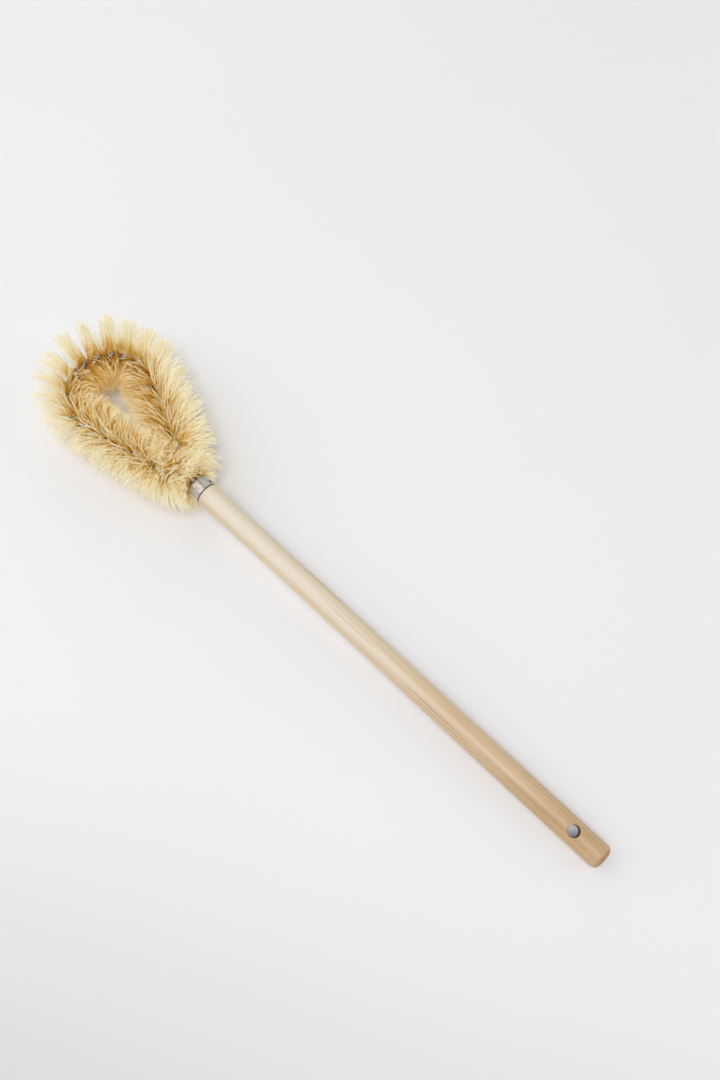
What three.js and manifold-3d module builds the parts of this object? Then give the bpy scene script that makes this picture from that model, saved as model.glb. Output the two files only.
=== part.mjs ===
// Toilet brush with a turned wooden handle. A metal ferrule closes the handle's front end, where a
// loop of two wires twisted together enters, and plant fibre is clamped between the wires all the
// way round the loop. Millimetres, +Z up, +X from the butt to the head. The brush lies as it does
// on a table, on its bristles and on the edge of its butt.

import * as THREE from 'three';
import { mergeVertices } from 'three/addons/utils/BufferGeometryUtils.js';
import Module from 'manifold-3d';

const wasm = await Module();
wasm.setup();

const radians = THREE.MathUtils.degToRad;
const UP = new THREE.Vector3(0, 0, 1);

// Fits
const seatGap = 0.3; // between pieces that seat on each other
const cutOverrun = 2; // how far a cutter runs past the face it opens

// Handle: a straight dowel with a spigot for the ferrule and a hole to hang it by
const handleDiameter = 18;
const handleLength = 374; // from the ferrule's back edge to the butt
const buttRounding = 4.5;
const shoulderRounding = 0.6;
const mouthRecess = 0.6; // the wood stands back from the ferrule's front edge
const hangHoleDiameter = 8.6;
const hangHoleSetback = 26.5; // from the butt to the hole's axis
const hangHoleRoll = radians(-11);
const handleSides = 48;
const hangHoleSides = 32;
const roundingSteps = 3;

// Ferrule: a thin sleeve, flush with the dowel
const ferruleLength = 10;
const ferruleWall = 0.5;

// The nail that pins the ferrule
const nailHeadDiameter = 2.4;
const nailHeadHeight = 0.6;
const nailShankDiameter = 1.2;
const nailLength = 3.2; // from the ferrule's face to the point
const nailPointLength = 0.9;
const nailSetback = 2.8; // from the ferrule's back edge
const nailRoll = radians(50);
const nailSides = 16;

// Wire loop, seen from above: two straight arms that spread from a vertex just in front of the
// ferrule's mouth, joined by an arc. The loop leans a little to one side of the handle.
const wireDiameter = 3;
const legDepth = 28; // how far the wires run into the handle
const legSpacing = 4.8; // between the two legs' axes inside the handle
const vertexAhead = 0.2;
const vertexAside = 5.3;
const apexDistance = 105; // from the vertex to the arc's centre
const bendRadius = 33.5; // of the arc, at the axis of the twisted pair
const loopLean = radians(-7.6);
const neckSpan = 22.3; // from the vertex to where the arms run straight
const neckEase = 6; // how softly the legs turn into the arms
const halfTwists = 28;
const stepsPerHalfTwist = 4;
const legSteps = 3;
const neckSteps = 4;
const wireSides = 6;

// Fibre: a thin layer between the wires, with strands along both of its edges
const layerThickness = 0.6;
const layerGap = 0.35; // between the layer and each wire
const bristleReach = 28.5; // from the pair's axis to a strand's tip
const floorCut = 0.5; // how much the lowest strands lose where they lie on the table
const strandsPerHalfTwist = 7; // on each edge
const strandRootShare = 0.67; // of the room that each strand has along the layer
const strandTipShare = 0.75; // of the strand's thickness at its root
const shortestStrand = 1.5;
const neckGap = 1; // between the strands of the two arms where the twist starts
const middleGap = 7; // between them at the arc's centre
const coreRadius = 5; // left open round the arc's centre
const neckLean = radians(28); // how far the first strands lean back over the ferrule
const neckLeanLength = 28;
const sliceCount = 4;

// Steps for finding and measuring, not for shaping
const searchStep = 0.1;
const gapSampleStep = 0.6;

const handleRadius = handleDiameter / 2;
const spigotRadius = handleRadius - ferruleWall - seatGap;
const wireRadius = wireDiameter / 2;
const strandOffset = wireRadius + layerGap + layerThickness / 2; // pair's axis to a wire's axis
const pairRadius = strandOffset + wireRadius;
const boreRadius = Math.hypot(legSpacing / 2, strandOffset) + wireRadius + seatGap;
const wireHeight = bristleReach - floorCut;

// The handle dips from the ferrule's mouth until the edge of its butt touches the table.
const buttEdgeDistance = ferruleLength + handleLength - buttRounding;
const buttEdgeRadius = handleRadius - buttRounding;
const handleDip =
  Math.asin((wireHeight - buttRounding) / Math.hypot(buttEdgeDistance, buttEdgeRadius)) -
  Math.atan2(buttEdgeRadius, buttEdgeDistance);

const wood = new THREE.MeshStandardMaterial({ color: 0xdcc59c, roughness: 0.42, metalness: 0 });
const zinc = new THREE.MeshStandardMaterial({ color: 0xb9bbbc, roughness: 0.4, metalness: 1 });
const steel = new THREE.MeshStandardMaterial({ color: 0x8d8f90, roughness: 0.45, metalness: 1 });
const fibre = new THREE.MeshStandardMaterial({ color: 0xd8b97a, roughness: 0.8, metalness: 0 });

// Booleans

function toSolid(geometry) {
  const bare = geometry.clone();
  bare.deleteAttribute('normal');
  bare.deleteAttribute('uv');
  const merged = mergeVertices(bare);
  const corners = merged.index.array;
  const kept = [];
  for (let i = 0; i < corners.length; i += 3) {
    const [a, b, c] = corners.slice(i, i + 3);
    if (a !== b && b !== c && c !== a) kept.push(a, b, c);
  }
  return new wasm.Manifold(
    new wasm.Mesh({
      numProp: 3,
      vertProperties: merged.attributes.position.array,
      triVerts: new Uint32Array(kept),
    }),
  );
}

function fromSolid(solid) {
  const { vertProperties, triVerts } = solid.getMesh();
  const geometry = new THREE.BufferGeometry();
  geometry.setAttribute('position', new THREE.BufferAttribute(vertProperties, 3));
  geometry.setIndex(new THREE.BufferAttribute(triVerts, 1));
  geometry.computeVertexNormals();
  return geometry;
}

function cut(geometry, cutters) {
  return fromSolid(cutters.reduce((left, cutter) => left.subtract(toSolid(cutter)), toSolid(geometry)));
}

// Turned pieces: profiles have the radius first, then the place along the axis.

function turnedAlongX(profile, sides) {
  return new THREE.LatheGeometry(profile, sides).rotateZ(-Math.PI / 2);
}

function turnedAlongZ(profile, sides) {
  return new THREE.LatheGeometry(profile, sides).rotateX(Math.PI / 2);
}

// In the handle's own frame the ferrule's mouth is at x = 0 and the wood runs towards -X.
const shoulderX = -ferruleLength;
const buttX = shoulderX - handleLength;
const hangHoleX = buttX + hangHoleSetback;
const nailX = shoulderX + nailSetback;

function handleGeometry() {
  const boreEndX = -legDepth - seatGap;
  const profile = new THREE.Path();
  profile.moveTo(0, buttX);
  profile.lineTo(buttEdgeRadius, buttX);
  profile.absarc(buttEdgeRadius, buttX + buttRounding, buttRounding, -Math.PI / 2, 0, false);
  profile.lineTo(handleRadius, shoulderX - shoulderRounding);
  profile.absarc(
    handleRadius - shoulderRounding, shoulderX - shoulderRounding, shoulderRounding, 0, Math.PI / 2, false,
  );
  profile.lineTo(spigotRadius, shoulderX);
  profile.lineTo(spigotRadius, -mouthRecess);
  profile.lineTo(boreRadius, -mouthRecess);
  profile.lineTo(boreRadius, boreEndX);
  profile.lineTo(0, boreEndX);
  const blank = turnedAlongX(profile.getPoints(roundingSteps), handleSides);
  return cut(blank, [hangHoleCutter(), nailHoleCutter()]);
}

function hangHoleCutter() {
  const length = handleDiameter + 2 * cutOverrun;
  const radius = hangHoleDiameter / 2;
  return new THREE.CylinderGeometry(radius, radius, length, hangHoleSides)
    .rotateX(Math.PI / 2 + hangHoleRoll)
    .translate(hangHoleX, 0, 0);
}

function nailHoleCutter() {
  const radius = nailShankDiameter / 2 + seatGap;
  const top = handleRadius + cutOverrun;
  const bottom = handleRadius - nailLength - seatGap;
  return new THREE.CylinderGeometry(radius, radius, top - bottom, nailSides)
    .rotateX(Math.PI / 2)
    .translate(0, 0, (top + bottom) / 2)
    .rotateX(nailRoll)
    .translate(nailX, 0, 0);
}

function ferruleGeometry() {
  const backX = shoulderX + seatGap;
  const innerRadius = handleRadius - ferruleWall;
  const profile = [
    new THREE.Vector2(handleRadius, backX),
    new THREE.Vector2(handleRadius, 0),
    new THREE.Vector2(innerRadius, 0),
    new THREE.Vector2(innerRadius, backX),
    new THREE.Vector2(handleRadius, backX),
  ];
  return cut(turnedAlongX(profile, handleSides), [nailHoleCutter()]);
}

function nailGeometry() {
  const headRadius = nailHeadDiameter / 2;
  const shankRadius = nailShankDiameter / 2;
  const tip = handleRadius - nailLength;
  const underHead = handleRadius + seatGap;
  const headEdge = underHead + nailHeadHeight / 2;
  const profile = [
    new THREE.Vector2(0, tip),
    new THREE.Vector2(shankRadius, tip + nailPointLength),
    new THREE.Vector2(shankRadius, underHead),
    new THREE.Vector2(headRadius, underHead),
    new THREE.Vector2(headRadius, headEdge),
    new THREE.Vector2(shankRadius, underHead + nailHeadHeight),
    new THREE.Vector2(0, underHead + nailHeadHeight),
  ];
  return turnedAlongZ(profile, nailSides).rotateX(nailRoll).translate(nailX, 0, 0);
}

// The axis of the twisted pair, seen from above, from the end of one leg to the end of the other

const vertex = new THREE.Vector2(vertexAhead, vertexAside);
const armSpread = Math.asin(bendRadius / apexDistance);
const armLength = Math.sqrt(apexDistance ** 2 - bendRadius ** 2);
const bendCentre = fromVertex(loopLean, apexDistance);
const leftOfAxis = new THREE.Vector2(-Math.sin(loopLean), Math.cos(loopLean));

function fromVertex(heading, distance) {
  return new THREE.Vector2(Math.cos(heading), Math.sin(heading)).multiplyScalar(distance).add(vertex);
}

function planPath() {
  const legY = legSpacing / 2;
  const leftHeading = loopLean + armSpread;
  const rightHeading = loopLean - armSpread;
  const quarter = Math.PI / 2;
  const left = [neckSpan - neckEase, neckSpan].map((d) => fromVertex(leftHeading, d));
  const right = [neckSpan - neckEase, neckSpan].map((d) => fromVertex(rightHeading, d));
  const leftEnd = fromVertex(leftHeading, armLength);
  const path = new THREE.Path();
  path.moveTo(-legDepth, legY);
  path.lineTo(0, legY);
  path.bezierCurveTo(neckEase, legY, left[0].x, left[0].y, left[1].x, left[1].y);
  path.lineTo(leftEnd.x, leftEnd.y);
  path.absarc(
    bendCentre.x, bendCentre.y, bendRadius, leftHeading + quarter, rightHeading - quarter, true,
  );
  path.lineTo(right[1].x, right[1].y);
  path.bezierCurveTo(right[0].x, right[0].y, neckEase, -legY, 0, -legY);
  path.lineTo(-legDepth, -legY);
  return path;
}

const plan = planPath();
const pathLength = plan.getLength();
const curveEnds = plan.getCurveLengths();
const bendStart = curveEnds[2];
const bendEnd = curveEnds[3];

// The twist starts where the two arms leave room for each other.
function findTwistStart() {
  const room = 2 * pairRadius + seatGap;
  let arc = legDepth;
  while (plan.getPoint(arc / pathLength).distanceTo(plan.getPoint(1 - arc / pathLength)) < room) {
    arc += searchStep;
  }
  return arc;
}

const twistStart = findTwistStart();
const twistEnd = pathLength - twistStart;
const halfTwistLength = (twistEnd - twistStart) / halfTwists;

// The pair's place at a distance along its axis. The legs dip with the handle. The turn is the
// angle of the first wire round the axis, from the side towards up, and the lay is left-handed.
function station(arc) {
  const point = plan.getPoint(arc / pathLength);
  const heading = plan.getTangent(arc / pathLength);
  const dip = point.x < 0 ? handleDip : 0;
  const centre = new THREE.Vector3(
    point.x * Math.cos(dip), point.y, wireHeight + point.x * Math.sin(dip),
  );
  const along = new THREE.Vector3(heading.x * Math.cos(dip), heading.y, heading.x * Math.sin(dip));
  along.normalize();
  const side = UP.clone().cross(along).normalize();
  const up = along.clone().cross(side);
  const twisted = THREE.MathUtils.clamp(arc, twistStart, twistEnd) - twistStart;
  const turn = Math.PI / 2 - (Math.PI * twisted) / halfTwistLength;
  const toWire = round(side, up, turn);
  const toEdge = round(side, up, turn + Math.PI / 2);
  return { centre, along, toWire, toEdge };
}

function round(side, up, angle) {
  return side.clone().multiplyScalar(Math.cos(angle)).addScaledVector(up, Math.sin(angle));
}

// A closed body that is built face by face
class Shell {
  positions = [];
  corners = [];

  point({ x, y, z }) {
    this.positions.push(x, y, z);
    return this.positions.length / 3 - 1;
  }

  ring(points) {
    return points.map((point) => this.point(point));
  }

  quad(a, b, c, d) {
    this.corners.push(a, b, c, a, c, d);
  }

  wall(from, to) {
    from.forEach((corner, k) => {
      const next = (k + 1) % from.length;
      this.quad(corner, from[next], to[next], to[k]);
    });
  }

  cap(ring) {
    for (let k = 1; k < ring.length - 1; k += 1) this.corners.push(ring[0], ring[k], ring[k + 1]);
  }

  geometry() {
    const geometry = new THREE.BufferGeometry();
    geometry.setAttribute('position', new THREE.Float32BufferAttribute(this.positions, 3));
    geometry.setIndex(this.corners);
    geometry.computeVertexNormals();
    return geometry;
  }
}

// Wires

function evenly(from, to, steps) {
  return Array.from({ length: steps }, (_, k) => from + ((to - from) * k) / steps);
}

const wireStations = [
  ...evenly(0, legDepth, legSteps),
  ...evenly(legDepth, twistStart, neckSteps),
  ...evenly(twistStart, twistEnd, halfTwists * stepsPerHalfTwist),
  ...evenly(twistEnd, pathLength - legDepth, neckSteps),
  ...evenly(pathLength - legDepth, pathLength, legSteps),
  pathLength,
];

function wireCentre(arc, sign) {
  const { centre, toWire } = station(arc);
  return centre.addScaledVector(toWire, sign * strandOffset);
}

function wireGeometry(sign) {
  const shell = new Shell();
  const centres = wireStations.map((arc) => wireCentre(arc, sign));
  const rings = wireStations.map((arc, i) => {
    const before = centres[Math.max(i - 1, 0)];
    const after = centres[Math.min(i + 1, centres.length - 1)];
    const along = after.clone().sub(before).normalize();
    const first = station(arc).toWire;
    first.addScaledVector(along, -first.dot(along)).normalize();
    const second = along.clone().cross(first);
    const corners = evenly(0, 2 * Math.PI, wireSides).map((angle) =>
      round(first, second, angle).multiplyScalar(wireRadius).add(centres[i]),
    );
    return shell.ring(corners);
  });
  rings.slice(1).forEach((ring, i) => shell.wall(rings[i], ring));
  shell.cap(rings[0].toReversed());
  shell.cap(rings.at(-1));
  return shell.geometry();
}

// Bristles

const strandRows = halfTwists * strandsPerHalfTwist;
const rowPitch = (twistEnd - twistStart) / strandRows;

// The layer's section, as signs towards the first wire and towards an edge: two corners on each
// edge, and a point between them on each face
const layerOutline = [[1, 1], [-1, 1], [-1, 0], [-1, -1], [1, -1], [1, 0]];

function layerSection(arc) {
  const { centre, toWire, toEdge } = station(arc);
  return layerOutline.map(([wireSign, edgeSign]) =>
    centre.clone()
      .addScaledVector(toWire, (wireSign * layerThickness) / 2)
      .addScaledVector(toEdge, edgeSign * pairRadius),
  );
}

// Strands near the handle lean back over the ferrule, less and less with the distance.
function strandAxis(arc, edgeSign) {
  const { along, toEdge } = station(arc);
  const fromEnd = Math.min(arc - twistStart, twistEnd - arc);
  const fade = Math.max(1 - fromEnd / neckLeanLength, 0) ** 2;
  const back = arc < pathLength / 2 ? -1 : 1;
  return toEdge
    .multiplyScalar(edgeSign * Math.cos(neckLean * fade))
    .addScaledVector(along, back * Math.sin(neckLean * fade));
}

// Strands that point into the loop stop short of the other arm's, or of the arc's centre.
function strandLength(root, axis, arc) {
  const full = bristleReach - pairRadius;
  const place = new THREE.Vector2(root.x, root.y);
  const heading = new THREE.Vector2(axis.x, axis.y);
  if (arc > bendStart && arc < bendEnd) {
    const inward = place.clone().sub(bendCentre);
    if (inward.dot(heading) >= 0) return full;
    return Math.min(full, (inward.length() - coreRadius) / heading.length());
  }
  const ownSide = arc < pathLength / 2 ? 1 : -1;
  const approach = -ownSide * heading.dot(leftOfAxis);
  if (approach <= 0) return full;
  const fromEnd = Math.min(arc - twistStart, twistEnd - arc);
  const gap = THREE.MathUtils.mapLinear(fromEnd, 0, bendStart - twistStart, neckGap, middleGap);
  const room = ownSide * place.sub(vertex).dot(leftOfAxis) - gap / 2;
  return Math.min(full, room / approach);
}

const strandLines = [];

// A strand grows from four corners on the layer's edge. Where it meets the table it is cut level.
function addStrand(shell, corners, arc, edgeSign) {
  const root = new THREE.Vector3();
  corners.forEach((corner) => root.add(corner));
  root.divideScalar(corners.length);
  const axis = strandAxis(arc, edgeSign);
  const length = strandLength(root, axis, arc);
  if (length < shortestStrand) return null;
  const tip = root.clone().addScaledVector(axis, length);
  const tipCorners = corners.map((corner) => {
    const end = corner.clone().sub(root).multiplyScalar(strandTipShare).add(tip);
    if (end.z < 0) end.lerp(corner, -end.z / (corner.z - end.z)).setZ(0);
    return end;
  });
  strandLines.push(new THREE.Line3(root, tip));
  return shell.ring(tipCorners);
}

function bristleGeometry(slice) {
  const shell = new Shell();
  const rows = strandRows / sliceCount;
  const sliceStart = twistStart + slice * rows * rowPitch;
  const sliceEnd = sliceStart + rows * rowPitch;
  const halfRoot = (strandRootShare * rowPitch) / 2;
  const addSection = (arc) => {
    const points = layerSection(arc);
    return { points, ring: shell.ring(points) };
  };
  const openEnd = addSection(sliceStart + seatGap / 2);
  let last = openEnd;
  for (let row = 0; row < rows; row += 1) {
    const middle = sliceStart + (row + 1 / 2) * rowPitch;
    const from = addSection(middle - halfRoot);
    const to = addSection(middle + halfRoot);
    shell.wall(last.ring, from.ring);
    from.ring.forEach((_, k) => {
      const next = (k + 1) % from.ring.length;
      const face = [from.ring[k], from.ring[next], to.ring[next], to.ring[k]];
      const corners = [from.points[k], from.points[next], to.points[next], to.points[k]];
      const edgeSign = layerOutline[k][1];
      const onEdge = edgeSign === layerOutline[next][1];
      const tips = onEdge ? addStrand(shell, corners, middle, edgeSign) : null;
      if (tips) {
        shell.wall(face, tips);
        shell.cap(tips);
      } else {
        shell.quad(...face);
      }
    });
    last = to;
  }
  const closeEnd = addSection(sliceEnd - seatGap / 2);
  shell.wall(last.ring, closeEnd.ring);
  shell.cap(openEnd.ring.toReversed());
  shell.cap(closeEnd.ring);
  return shell.geometry();
}

// Assembly

function named(name, geometry, material) {
  const mesh = new THREE.Mesh(geometry, material);
  mesh.name = name;
  return mesh;
}

const handleGroup = new THREE.Group();
handleGroup.add(
  named('handle', handleGeometry(), wood),
  named('ferrule', ferruleGeometry(), zinc),
  named('ferrule_nail', nailGeometry(), steel),
);
handleGroup.position.z = wireHeight;
handleGroup.rotation.y = -handleDip;

const head = new THREE.Group();
head.add(named('wire_strand_a', wireGeometry(1), zinc), named('wire_strand_b', wireGeometry(-1), zinc));
const sliceNames = ['bristles_near_left', 'bristles_far_left', 'bristles_far_right', 'bristles_near_right'];
sliceNames.forEach((name, slice) => head.add(named(name, bristleGeometry(slice), fibre)));

// The origin is under the middle of the brush, on the table.
const assembly = new THREE.Group();
assembly.add(handleGroup, head);
assembly.updateMatrixWorld(true);
const middle = new THREE.Box3().setFromObject(assembly, true).getCenter(new THREE.Vector3());
assembly.position.set(-middle.x, -middle.y, 0);

// Measured gaps

function wireSamples(sign) {
  const count = Math.ceil(pathLength / gapSampleStep);
  return [...evenly(0, pathLength, count), pathLength].map((arc) => ({ arc, point: wireCentre(arc, sign) }));
}

function leastGap(first, second, apart) {
  let least = Infinity;
  first.forEach((a) => second.forEach((b) => {
    if (Math.abs(a.arc - b.arc) >= apart) least = Math.min(least, a.point.distanceTo(b.point));
  }));
  return (least - wireDiameter).toFixed(2);
}

function leastStrandSpacing() {
  let least = Infinity;
  strandLines.forEach((line, i) => {
    strandLines.slice(i + 1).forEach((other) => {
      least = Math.min(least, Math.sqrt(line.distanceSqToLine3(other)));
    });
  });
  return least.toFixed(2);
}

const samplesA = wireSamples(1);
const samplesB = wireSamples(-1);
const ownTurn = 2 * wireDiameter;
console.log(`Wire strand a clears itself by ${leastGap(samplesA, samplesA, ownTurn)} mm`);
console.log(`Wire strand b clears itself by ${leastGap(samplesB, samplesB, ownTurn)} mm`);
console.log(`The two wire strands clear each other by ${leastGap(samplesA, samplesB, 0)} mm`);
console.log(`${strandLines.length} bristle strands, their axes at least ${leastStrandSpacing()} mm apart`);

const toiletBrush = new THREE.Group();
toiletBrush.name = 'toilet_brush';
toiletBrush.add(assembly);

export default toiletBrush;
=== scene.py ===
import math

import bmesh
import bpy
import numpy as np
from mathutils import Matrix, Vector


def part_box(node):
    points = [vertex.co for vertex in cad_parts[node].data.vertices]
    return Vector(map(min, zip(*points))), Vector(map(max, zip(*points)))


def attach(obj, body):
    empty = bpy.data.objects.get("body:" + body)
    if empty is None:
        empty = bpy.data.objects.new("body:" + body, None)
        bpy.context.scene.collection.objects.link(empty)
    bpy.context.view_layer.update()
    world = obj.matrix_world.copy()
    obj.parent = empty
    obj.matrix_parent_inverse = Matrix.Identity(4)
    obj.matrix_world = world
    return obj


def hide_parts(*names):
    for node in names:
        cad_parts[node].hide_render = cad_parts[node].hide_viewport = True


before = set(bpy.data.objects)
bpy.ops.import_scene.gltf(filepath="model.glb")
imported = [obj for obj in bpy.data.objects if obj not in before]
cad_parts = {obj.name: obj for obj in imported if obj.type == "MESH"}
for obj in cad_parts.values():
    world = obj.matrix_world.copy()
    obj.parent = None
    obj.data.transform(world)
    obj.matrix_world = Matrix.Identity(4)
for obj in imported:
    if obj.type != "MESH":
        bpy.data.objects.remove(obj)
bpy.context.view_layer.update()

# Toilet brush: a lacquered wooden handle, a zinc ferrule held by one nail, and a loop of two twisted
# wires that clamps plant fibre. Metres, +Z up, +X from the butt to the head.

MM = 0.001
UP = Vector((0, 0, 1))

# Handle
HANDLE_RADIUS = 9 * MM
HANDLE_LENGTH = 374 * MM
BUTT_ROUNDING = 4.5 * MM
SHOULDER_ROUNDING = 0.6 * MM
MOUTH_RECESS = 0.6 * MM
HANG_HOLE_RADIUS = 4.3 * MM
HANG_HOLE_SETBACK = 26.5 * MM
HANG_HOLE_ROLL = math.radians(-11)
HANG_HOLE_SIDES = 64
EDGE_EASING = 0.35 * MM
EASED_ANGLE = math.radians(38)
HANDLE_SIDES = 96
HANDLE_ROWS = 24
BUTT_STEPS = 12
SHOULDER_STEPS = 5
SEAT_GAP = 0.3 * MM
CUT_OVERRUN = 3 * MM
MERGE_DISTANCE = 0.001 * MM

# Wood: its growth rings run round a pith beside the dowel, and drift and slope along it. The flanks are
# the two sides that lie this far from the middle of the face.
PITH_ASIDE = 30 * MM
RING_PITCH = 2.1 * MM
RING_DRIFT = 3.5 * MM
GRAIN_SLOPE = 0.006
FLANK_START = 3.5 * MM
FLANK_END = 7.5 * MM
FLANK_DRIFT = 6 * MM

# Ferrule and nail
FERRULE_LENGTH = 10 * MM
FERRULE_WALL = 0.5 * MM
FERRULE_EDGE = 0.16 * MM
FERRULE_BACK_SHARE = 0.4
FERRULE_SIDES = 144
FERRULE_ROWS = 16
FERRULE_EDGE_STEPS = 3
SEAM_ANGLE = math.radians(118)
SEAM_STEP = 0.22 * MM
SEAM_FADE = math.radians(34)
# Dents: angle from the top, share of the length, breadth round, breadth along, depth in mm
DENTS = (
    (-28, 0.42, 13, 0.30, 0.20), (-6, 0.66, 10, 0.26, 0.12), (30, 0.48, 12, 0.34, 0.22),
    (62, 0.70, 11, 0.30, 0.15), (-64, 0.55, 15, 0.36, 0.20), (101, 0.40, 14, 0.30, 0.18),
    (150, 0.60, 16, 0.34, 0.20), (-118, 0.38, 14, 0.32, 0.18), (-156, 0.62, 12, 0.30, 0.16),
)
NAIL_HEAD_RADIUS = 1.2 * MM
NAIL_HEAD_HEIGHT = 0.6 * MM
NAIL_RIM_HEIGHT = 0.1 * MM
NAIL_RIM_CHAMFER = 0.08 * MM
NAIL_SEAT_SHARE = 0.25
NAIL_SHANK_RADIUS = 0.6 * MM
NAIL_LENGTH = 3.2 * MM
NAIL_POINT_LENGTH = 0.9 * MM
NAIL_SETBACK = 2.8 * MM
NAIL_ROLL = math.radians(50)
NAIL_SIDES = 28
NAIL_DOME_POINTS = 7
NAIL_HOLE_SIDES = 24

# Wire loop
WIRE_RADIUS = 1.5 * MM
LEG_DEPTH = 28 * MM
LEG_SPACING = 4.8 * MM
VERTEX_AHEAD = 0.2 * MM
VERTEX_ASIDE = 5.3 * MM
APEX_DISTANCE = 105 * MM
BEND_RADIUS = 33.5 * MM
LOOP_LEAN = math.radians(-7.6)
NECK_SPAN = 22.3 * MM
NECK_EASE = 6 * MM
HALF_TWISTS = 28
LAYER_THICKNESS = 0.6 * MM
LAYER_GAP = 0.35 * MM
PATH_STEP = 0.5 * MM
STRETCH_POINTS = 200
BEND_POINTS = 800
WIRE_SIDES = 14
STRAND_OFFSET = WIRE_RADIUS + LAYER_GAP + LAYER_THICKNESS / 2
PAIR_RADIUS = STRAND_OFFSET + WIRE_RADIUS
BORE_RADIUS = math.hypot(LEG_SPACING / 2, STRAND_OFFSET) + WIRE_RADIUS + SEAT_GAP

# Fibre. The slices follow the loop from the left arm's neck to the right arm's, two to a node. The
# spreads of a lock and of the roots are how far they scatter each way, the length spread is the share
# that the shortest fibres lack, most fibres lacking less by the power, and the bend is how far the middle
# of a fibre strays.
FIBRE_REACH = 28.5 * MM
INWARD_REACH = 30 * MM
FLOOR_CUT = 0.5 * MM
FLOOR_GAP = 0.35 * MM
WIRE_HEIGHT = FIBRE_REACH - FLOOR_CUT
FIBRES_PER_SLICE = (2600, 2400, 2200, 2200, 2600, 2500, 2500, 2600)
SEED_STEP = 100
FIBRE_THICKNESS = 0.42 * MM
TIP_THICKNESS_SHARE = 0.42
FIBRE_STEPS = 6
FIBRE_SETBACK = 2 * MM
FIBRE_BEND = 1.6 * MM
LENGTH_SPREAD = 0.36
LENGTH_POWER = 2.2
WEIGHT_RANGE = (0.7, 1.2)
ROOT_SPREAD = 0.4 * MM
LOCK_SPREAD = 0.6 * MM
FIBRES_PER_LOCK = 3
TUFTS_PER_HALF_TWIST = 6
# Scatter each way: of tufts in shares of a tuft, radians, shares of the length and slope of the fan, of
# locks in shares of the way round the loop, and of single fibres in shares of the length
TUFT_SHIFT = 0.35
TUFT_TURN = 0.10
TUFT_LENGTH = 0.045
TUFT_FAN = 0.05
LOCK_SHIFT = 0.0024
FIBRE_LENGTH = 0.07
ROOT_STRAY_SHARE = 0.4
# Cosines of a direction with straight out: up to the first the layer's edge changes from facing in to
# facing out, and from the second on a fibre counts as wholly outward or inward
EDGE_FACING = 0.35
WHOLLY_SIDEWAYS = 0.9
NECK_LEAN = math.radians(28)
NECK_LEAN_AT_END = -0.2
NECK_LEAN_PEAK = 9 * MM
NECK_LEAN_LENGTH = 46 * MM
# The opening in the loop: the radius that tips keep from the middle of the bend, how far the opening
# slants towards the camera, how flat and how far towards the neck the fibre of the bend is combed, and
# the gap between the arms' tips in the middle of the loop and at the neck, where they overlap
CORE_RADIUS = 4.6 * MM
OPENING_SLANT = 0.45
BEND_FLATNESS = 0.65
BOWL_COMB = 0.62
MIDDLE_GAP = 7.4 * MM
NECK_GAP = -36 * MM
# By the room from a wire to the middle of the loop: with less than the first trim room a fibre keeps its
# length and turns up, with more than the second it ends at the middle, give or take the middle's range,
# and ends are more ragged in little room. The least narrowing keeps upright fibres from being trimmed.
TRIM_ROOM = (18 * MM, 25 * MM)
TURN_UP = 0.55
MIDDLE_RANGE = (0.94, 1.04)
LEAST_NARROWING = 0.05
RAGGED_ROOM = (14 * MM, 24 * MM)
RAGGEDNESS = 3 * MM
# By shares of the way round the loop, from the left arm's neck to the right arm's: the outward reach in
# mm, how far a fibre strays round the wires from the layer's edge in radians, how close a tuft draws its
# tips, and how far tips fan fore and aft by their length
OUTWARD_REACH = (
    (0.0, 22.0), (0.06, 26.0), (0.2, 25.0), (0.36, 24.0), (0.46, 30.0), (0.55, 32.5), (0.62, 28.0),
    (0.72, 26.5), (0.80, 29.5), (0.90, 30.5), (0.95, 25.0), (1.0, 18.0),
)
STRAY = (
    (0.0, 2.4), (0.06, 1.6), (0.10, 1.3), (0.20, 1.05), (0.38, 0.75), (0.46, 0.72), (0.52, 0.74),
    (0.69, 0.74), (0.76, 1.0), (0.90, 1.2), (0.94, 1.6), (1.0, 2.4),
)
GATHER = ((0.0, 0.26), (0.24, 0.34), (0.34, 0.50), (0.44, 0.50), (0.66, 0.50), (0.78, 0.50), (1.0, 0.40))
FAN = (
    (0.0, 0.12), (0.03, 0.30), (0.08, 0.60), (0.28, 0.55), (0.44, 0.42), (0.52, 0.18), (0.66, 0.18),
    (0.76, 0.50), (0.92, 0.60), (0.97, 0.30), (1.0, 0.12),
)
# How much of a half twist's fibre draws into one finger, and where the finger stands in the half twist
FINGER = ((0.0, 0.0), (0.46, 0.0), (0.52, 0.74), (0.69, 0.74), (0.74, 0.0), (1.0, 0.0))
FINGER_PLACE = -0.2
# Where the fibre lies in a bowl round the opening, and where it is combed towards the neck
BOWL = ((0.2, 0.0), (0.34, 1.0), (0.66, 1.0), (0.8, 0.0))
COMBED = ((0.28, 0.0), (0.38, 1.0), (0.62, 1.0), (0.72, 0.0))

# Table: half its width, and how far from the camera's aim the painted shade that darkens its colour starts
# and stops, in a direction towards the camera and this much to the left
TABLE_HALF = 1.6
SHADE_START = 0.18
SHADE_END = 0.62
SHADE_LEFT = 0.35

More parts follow.
